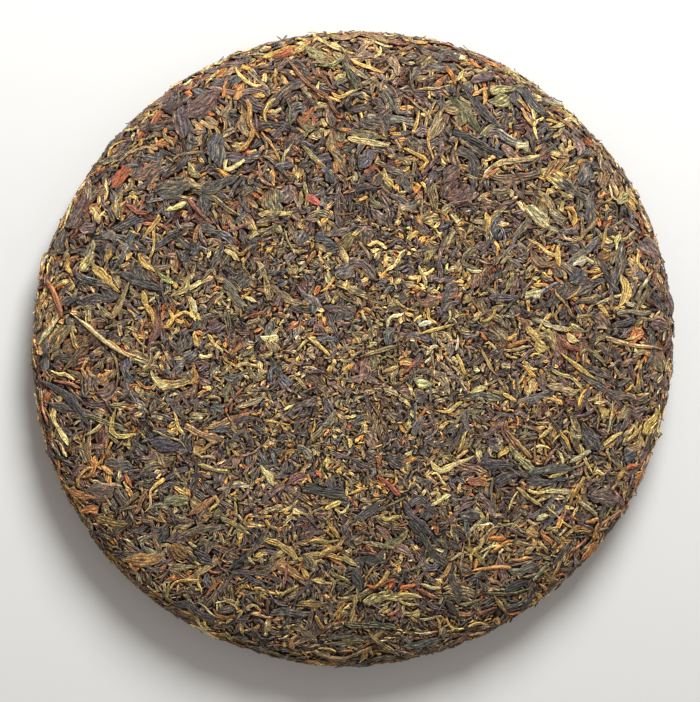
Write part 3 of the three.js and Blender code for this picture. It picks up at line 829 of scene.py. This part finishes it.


def leaf_points(leaf):
    """One leaf's corners as places on the cake, their colours with painted light and shade, and their places
    along and across it.
    """
    bed, size, along, u, v, turn, half, crown, thick, tilt, length, colours = leaf
    form = SIZES[size]
    rings, tops = form["rings"], form["tops"]
    around = tops + UNDER_POINTS
    across = np.linspace(UNDER_REACH, -UNDER_REACH, UNDER_POINTS + 2)[1:-1]
    across = np.concatenate([np.linspace(-1, 1, tops), across])
    across[1 : tops - 1] += rng.uniform(-JITTER, JITTER, tops - 2) / (tops - 1)
    upper = np.arange(around) < tops
    at = np.linspace(-1, 1, rings) * form["end"]
    ridge = np.zeros(around)
    ridge[1 : tops - 1 : 2] = rng.uniform(*RIDGE_UP, len(ridge[1 : tops - 1 : 2]))
    ridge[2 : tops - 1 : 2] = -rng.uniform(*RIDGE_DOWN, len(ridge[2 : tops - 1 : 2]))
    ridge = ridge * rng.normal(1, RIDGE_CHANGE, (rings, 1))
    depth = rng.uniform(*RIDGE_HEIGHT)
    fold = CRUMPLE * rng.normal(0, 1, (rings, around))
    ragged = np.where(across < 0, *(1 + form["ragged"] * rng.normal(0, 1, (2, rings, 1))))
    reach = np.interp(at, along, half)[:, None] * across * ragged
    torn = rng.normal(0, TORN, 2)
    slip = reach * np.where(at < 0, *torn)[:, None] * (np.abs(at) ** TORN_POWER)[:, None]
    heading = np.interp(at, along, turn)[:, None]
    ring_u = np.interp(at, along, u)[:, None] - np.sin(heading) * reach + np.cos(heading) * slip
    ring_v = np.interp(at, along, v)[:, None] + np.cos(heading) * reach + np.sin(heading) * slip
    fall = thick * form["drop"] * np.abs(across) ** EDGE_POWER + tilt * across
    lift = np.interp(at, along, crown)[:, None] - np.where(upper, fall, thick * UNDER_DEPTH)
    lift = lift + np.where(upper, ridge * depth + fold, 0)
    end_lift = crown[[0, -1]] - thick * TIP_DEPTH
    i, j = bed.cells(ring_u, ring_v)
    # Painted shade in the gaps: corners below the level of the side darken the deeper they lie, and those a
    # little over it lighten.
    gap_shade = np.clip(1 + GAP_SHADE_FADE * (lift - bed.level[i, j]), *GAP_SHADE_RANGE)
    # Painted light and shade: ridges lighter, grooves darker, the underside in painted shade. Each side's
    # edge takes one of EDGE_SHADES: darker ones are painted shade, lighter ones pale edges partly made of
    # painted highlight.
    edge = np.where(across < 0, *rng.choice(EDGE_SHADES, 2)) * np.abs(across) ** EDGE_SHADE_POWER
    shade = np.where(upper, 1 + RIDGE_SHADE * ridge + edge, UNDER_SHADE)
    shade = shade * rng.lognormal(0, SHADE_SPREAD, (rings, around))
    mix = np.clip((at[:, None] + 1) / 2 + rng.normal(0, CHANGE_SPREAD, (rings, around)), 0, 1)[:, :, None]
    # Painted highlight: a tan glint along ridges and light edges.
    glint = np.clip(ridge + edge, 0, 1) * rng.uniform(0, GLINT)
    ring_colour = (colours[0] * (1 - mix) + colours[1] * mix) * shade[:, :, None]
    ring_colour = ring_colour + glint[:, :, None] * RIDGE_GLINT_COLOUR
    warm = 1 + WARM_EDGES * (rng.uniform(0, 1) * np.abs(across) ** WARM_POWER)[:, None]
    # Warm edges, then the painted gap shade.
    ring_colour = ring_colour * warm * gap_shade[:, :, None] ** GAP_SHADE_TINT
    # The map's light, which carries the painted shade toward the lower edge of the face.
    ring_colour = ring_colour * bed.light[bed.cells(u.mean(), v.mean())]
    ring_along = np.broadcast_to((at * length / 2)[:, None], (rings, around))
    slant = rng.normal(0, SLANT)
    pattern = np.full((rings, around), rng.uniform(0, PATTERN_REACH))
    coord = np.stack([ring_along, reach + slant * ring_along, pattern], axis=2)
    ends = np.array([-length / 2, length / 2])
    end_coord = np.stack([ends, slant * ends, np.full(2, coord[0, 0, 2])], axis=1)
    points = on_cake(
        bed.side,
        np.concatenate([ring_u.ravel(), u[[0, -1]]]),
        np.concatenate([ring_v.ravel(), v[[0, -1]]]),
        np.concatenate([lift.ravel(), end_lift]),
    )
    # The tips, lowered into the bed, in painted shade.
    colour = np.concatenate([ring_colour.reshape(-1, 3), np.stack(colours) * TIP_SHADE])
    return points, colour, np.concatenate([coord.reshape(-1, 3), end_coord])


def mesh_from(name, points, fours, threes, tiles, colour, coord, smooth):
    mesh = bpy.data.meshes.new(name)
    corners = np.concatenate([fours.ravel(), threes.ravel()]).astype(np.int32)
    starts = np.concatenate([np.arange(len(fours)) * 4, len(fours) * 4 + np.arange(len(threes)) * 3])
    mesh.vertices.add(len(points))
    mesh.vertices.foreach_set("co", points.astype(np.float32).ravel())
    mesh.loops.add(len(corners))
    mesh.loops.foreach_set("vertex_index", corners)
    mesh.polygons.add(len(starts))
    mesh.polygons.foreach_set("loop_start", starts.astype(np.int32))
    mesh.update(calc_edges=True)
    mesh.polygons.foreach_set("use_smooth", smooth)
    mesh.uv_layers.new(name="OFBake").data.foreach_set("uv", tiles.astype(np.float32).ravel())
    for attribute, values in (("leaf_colour", colour), ("leaf_coord", coord)):
        data = mesh.attributes.new(attribute, "FLOAT_VECTOR", "POINT").data
        data.foreach_set("vector", values.astype(np.float32).ravel())
    mesh.update()
    return mesh


TILE_MARGIN = 0.06  # round each leaf's piece of the map, as a share of its tile


def joined(kind):
    """All the leaves of one kind as one mesh."""
    leaves = made[kind]
    columns = math.ceil(math.sqrt(len(leaves)))
    tile = 1 / columns
    inner = tile * (1 - 2 * TILE_MARGIN)
    parts = []
    base = 0
    for number, leaf in enumerate(leaves):
        points, colour, coord = leaf_points(leaf)
        four, three, four_tile, three_tile = TUBES[leaf[1]]
        corner = (np.array([number % columns, number // columns]) + TILE_MARGIN) * tile
        four_tile = corner + inner * four_tile.reshape(-1, 2)
        three_tile = corner + inner * three_tile.reshape(-1, 2)
        smooth = leaf[1] == "needle"
        smooth_four, smooth_three = np.full(len(four), smooth), np.full(len(three), smooth)
        four, three = four + base, three + base
        parts.append((points, colour, coord, four, three, four_tile, three_tile, smooth_four, smooth_three))
        base += len(points)
    points, colours, coords, fours, threes, *rest = map(np.concatenate, zip(*parts))
    tiles = np.concatenate(rest[:2])
    smooth = np.concatenate(rest[2:])
    mesh = mesh_from(kind, points, fours, threes, tiles, colours, coords, smooth)
    return bpy.data.objects.new(kind, mesh)


# Materials.
def node(tree, kind, **values):
    made_node = tree.nodes.new(kind)
    for name, value in values.items():
        if name in made_node.inputs:
            made_node.inputs[name].default_value = value
        else:
            setattr(made_node, name, value)
    return made_node


def reckoned(tree, kind, operation, first, second):
    """What a node of this kind makes of two values."""
    made_node = node(tree, kind, operation=operation)
    tree.links.new(first, made_node.inputs[0])
    tree.links.new(second, made_node.inputs[1])
    return made_node.outputs[0]


def ranged(tree, source, low, high, to_low, to_high):
    """A value stretched from low..high to to_low..to_high."""
    made_node = tree.nodes.new("ShaderNodeMapRange")
    for name, value in (("From Min", low), ("From Max", high), ("To Min", to_low), ("To Max", to_high)):
        made_node.inputs[name].default_value = value
    tree.links.new(source, made_node.inputs["Value"])
    return made_node.outputs[0]


def noise(tree, coord, stretch, detail, rough, output=0):
    """Noise whose grain is one over stretch long, in millimetres along, across and from leaf to leaf."""
    scale = node(tree, "ShaderNodeVectorMath", operation="MULTIPLY")
    scale.inputs[1].default_value = stretch
    tree.links.new(coord, scale.inputs[0])
    made_node = node(tree, "ShaderNodeTexNoise", Scale=1.0, Detail=detail, Roughness=rough)
    tree.links.new(scale.outputs[0], made_node.inputs["Vector"])
    return made_node.outputs[output]


def new_material(name):
    material = bpy.data.materials.new(name)
    material.use_nodes = True
    return material, material.node_tree, material.node_tree.nodes["Principled BSDF"]


def emboss(tree, shader, height, depth):
    bump = node(tree, "ShaderNodeBump", Strength=1.0, Distance=depth)
    tree.links.new(height, bump.inputs["Height"])
    tree.links.new(bump.outputs[0], shader.inputs["Normal"])


# Noise in the leaves: how fine it is along, across and from leaf to leaf, its detail and its roughness.
VEINS = ((0.62, 2.4, 1.0), 3.0, 0.65)
SPECKLES = ((2.2, 3.2, 1.0), 3.0, 0.7)
HUES = ((1.9, 2.9, 1.0), 2.0, 0.6)
PATCHES = ((0.3, 1.0, 1.3), 2.0, 0.6)
VEIN_RANGE = (0.36, 0.64)
SPECKLE_RANGE = (0.33, 0.67)
SPECKLE_LIGHT = (0.27, 1.83)
PATCH_RANGE = (0.52, 0.64)
HUE_SPREAD = (0.8, 0.5, 1.7)  # how far small specks differ in red, green and blue
ROUGH_SPREAD = (-0.1, 0.14)
LEAF_SHEEN = 0.5
LEAF_BUMP = 0.00045


def leaf_material(name, rough, veins, streak):
    material, tree, shader = new_material(name)
    link = tree.links.new
    colour = node(tree, "ShaderNodeAttribute", attribute_name="leaf_colour").outputs["Vector"]
    coord = node(tree, "ShaderNodeAttribute", attribute_name="leaf_coord").outputs["Vector"]
    vein = noise(tree, coord, *VEINS)
    speckle = noise(tree, coord, *SPECKLES)
    hues = noise(tree, coord, *HUES, output=1)
    patch = noise(tree, coord, *PATCHES)
    vein_light = ranged(tree, vein, *VEIN_RANGE, 1 - veins, 1 + veins)
    speckle_light = ranged(tree, speckle, *SPECKLE_RANGE, *SPECKLE_LIGHT)
    light = reckoned(tree, "ShaderNodeMath", "MULTIPLY", vein_light, speckle_light)
    streaked = node(tree, "ShaderNodeMix", data_type="VECTOR")
    link(ranged(tree, patch, *PATCH_RANGE, 0, 1), streaked.inputs["Factor"])
    streaked.inputs[4].default_value = (1, 1, 1)
    streaked.inputs[5].default_value = streak
    tinted = reckoned(tree, "ShaderNodeVectorMath", "MULTIPLY", colour, streaked.outputs[1])
    specks = node(tree, "ShaderNodeVectorMath", operation="MULTIPLY_ADD")
    link(hues, specks.inputs[0])
    specks.inputs[1].default_value = HUE_SPREAD
    specks.inputs[2].default_value = [1 - spread / 2 for spread in HUE_SPREAD]
    specked = reckoned(tree, "ShaderNodeVectorMath", "MULTIPLY", tinted, specks.outputs[0])
    lit = node(tree, "ShaderNodeVectorMath", operation="SCALE")
    link(specked, lit.inputs[0])
    link(light, lit.inputs["Scale"])
    link(lit.outputs[0], shader.inputs["Base Color"])
    matt = ranged(tree, speckle, 0, 1, rough + ROUGH_SPREAD[0], rough + ROUGH_SPREAD[1])
    link(matt, shader.inputs["Roughness"])
    shader.inputs["Specular IOR Level"].default_value = LEAF_SHEEN
    emboss(tree, shader, reckoned(tree, "ShaderNodeMath", "ADD", vein, speckle), LEAF_BUMP)
    return material


DUST_GRAIN = {"Scale": 900.0, "Detail": 3.0, "Roughness": 0.65}
# Packed dust, made near black so that the gaps between leaves show painted shade.
DUST_AND_SHADE_COLOURS = ((0.006, 0.004, 0.003, 1), (0.075, 0.032, 0.016, 1))
DUST_ROUGH = 0.8
DUST_BUMP = 0.0004


def core_material():
    material, tree, shader = new_material("packed_dust_and_shade")
    place = node(tree, "ShaderNodeTexCoord")
    grain = node(tree, "ShaderNodeTexNoise", **DUST_GRAIN)
    tree.links.new(place.outputs["Object"], grain.inputs["Vector"])
    ramp = node(tree, "ShaderNodeValToRGB")
    for element, colour in zip(ramp.color_ramp.elements, DUST_AND_SHADE_COLOURS):
        element.color = colour
    tree.links.new(grain.outputs[0], ramp.inputs[0])
    tree.links.new(ramp.outputs[0], shader.inputs["Base Color"])
    shader.inputs["Roughness"].default_value = DUST_ROUGH
    emboss(tree, shader, grain.outputs[0], DUST_BUMP)
    return material


# The body under the leaves, made anew on the cake's section; the imported one is hidden.
CORE_SINK = 2.5
CORE_TURNS = 220
CORE_STEPS = 110
CORE_HILLS = ((0.35, 4, 5),)
CORE_GRAIN = ((0.2, 1.9, 6),)


def core_object():
    way = np.linspace(0, WHOLE_WAY, CORE_STEPS + 2)[1:-1]
    angle = np.arange(CORE_TURNS) * 2 * np.pi / CORE_TURNS
    way_grid, angle_grid = np.meshgrid(way, angle, indexing="ij")
    radius = np.interp(way_grid, track_way, track_r)
    height = np.interp(way_grid, track_way, track_z)
    x, y = radius * np.cos(angle_grid), radius * np.sin(angle_grid)
    rough = relief(x + height, y - height, CORE_HILLS) + relief(x - height, y + height, CORE_GRAIN)
    lift = -CORE_SINK + rough
    u, v = way_grid * np.cos(angle_grid), way_grid * np.sin(angle_grid)
    points = on_cake("face", u.ravel(), v.ravel(), lift.ravel())
    poles = on_cake("face", np.array([0.0, WHOLE_WAY]), np.zeros(2), np.full(2, -CORE_SINK))
    four, three, four_tile, three_tile = tube_faces(CORE_STEPS, CORE_TURNS)
    points = np.concatenate([points, poles])
    tiles = np.concatenate([four_tile.reshape(-1, 2), three_tile.reshape(-1, 2)])
    blank = np.zeros((len(points), 3))
    smooth = np.ones(len(four) + len(three), bool)
    mesh = mesh_from("tea_core", points, four[:, ::-1], three[:, ::-1], tiles, blank, blank, smooth)
    return bpy.data.objects.new("tea_core", mesh)


face = Bed("face")
place_known(face)
cover(face, FACE_TRIES)
back = Bed("back")
cover(back, BACK_TRIES)

collection = bpy.context.scene.collection
core = core_object()
core.data.materials.append(core_material())
collection.objects.link(core)
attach(core, "root")
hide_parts("tea_cake")
for kind, look in KINDS.items():
    piece = joined(kind)
    piece.data.materials.append(leaf_material(kind, look["rough"], look["veins"], look["streak"]))
    collection.objects.link(piece)
    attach(piece, "root")

# The floor, the light and the camera. Lengths are in metres here.
FLOOR_HALF = 1.5
FLOOR_DROP = 0.0002
FLOOR_COLOUR = (0.72, 0.71, 0.69, 1)
FLOOR_ROUGH = 0.9
KEY_PLACE = (0.1, 0.6, 0.5)
KEY_SIZE = 0.36
KEY_WATTS = 9.2
KEY_COLOUR = (0.96, 0.99, 1.0)
ROOM_COLOUR = (1.0, 0.945, 0.905, 1)
ROOM_STRENGTH = 0.37

floor_mesh = bpy.data.meshes.new("floor")
floor_corners = [(x * FLOOR_HALF, y * FLOOR_HALF, 0) for x, y in ((-1, -1), (1, -1), (1, 1), (-1, 1))]
floor_mesh.from_pydata(floor_corners, [], [(0, 1, 2, 3)])
floor = bpy.data.objects.new("floor", floor_mesh)
floor.location.z = -FLOOR_DROP
floor_material, _, floor_shader = new_material("pale_floor")
floor_shader.inputs["Base Color"].default_value = FLOOR_COLOUR
floor_shader.inputs["Roughness"].default_value = FLOOR_ROUGH
floor_mesh.materials.append(floor_material)
collection.objects.link(floor)


def area_light(name, place, size, watts, colour):
    light = bpy.data.lights.new(name, "AREA")
    light.shape = "DISK"
    light.size = size
    light.energy = watts
    light.color = colour
    lamp = bpy.data.objects.new(name, light)
    lamp.location = place
    lamp.rotation_euler = (-Vector(place)).to_track_quat("-Z", "Y").to_euler()
    collection.objects.link(lamp)


area_light("key", KEY_PLACE, KEY_SIZE, KEY_WATTS, KEY_COLOUR)
world = bpy.data.worlds.new("studio")
bpy.context.scene.world = world
world.use_nodes = True
world.node_tree.nodes["Background"].inputs["Color"].default_value = ROOM_COLOUR
world.node_tree.nodes["Background"].inputs["Strength"].default_value = ROOM_STRENGTH

camera_data = bpy.data.cameras.new("camera")
camera_data.lens = CAMERA_LENS
camera_data.sensor_width = CAMERA_SENSOR
camera_data.clip_start = CAMERA_NEAR * MM
camera = bpy.data.objects.new("camera", camera_data)
axes = np.eye(4)
axes[:3, :3] = np.stack([camera_right, camera_up, camera_back], axis=1)
axes[:3, 3] = camera_place * MM
camera.matrix_world = Matrix(axes.tolist())
collection.objects.link(camera)
bpy.context.scene.camera = camera
bpy.context.scene.view_settings.view_transform = "Standard"
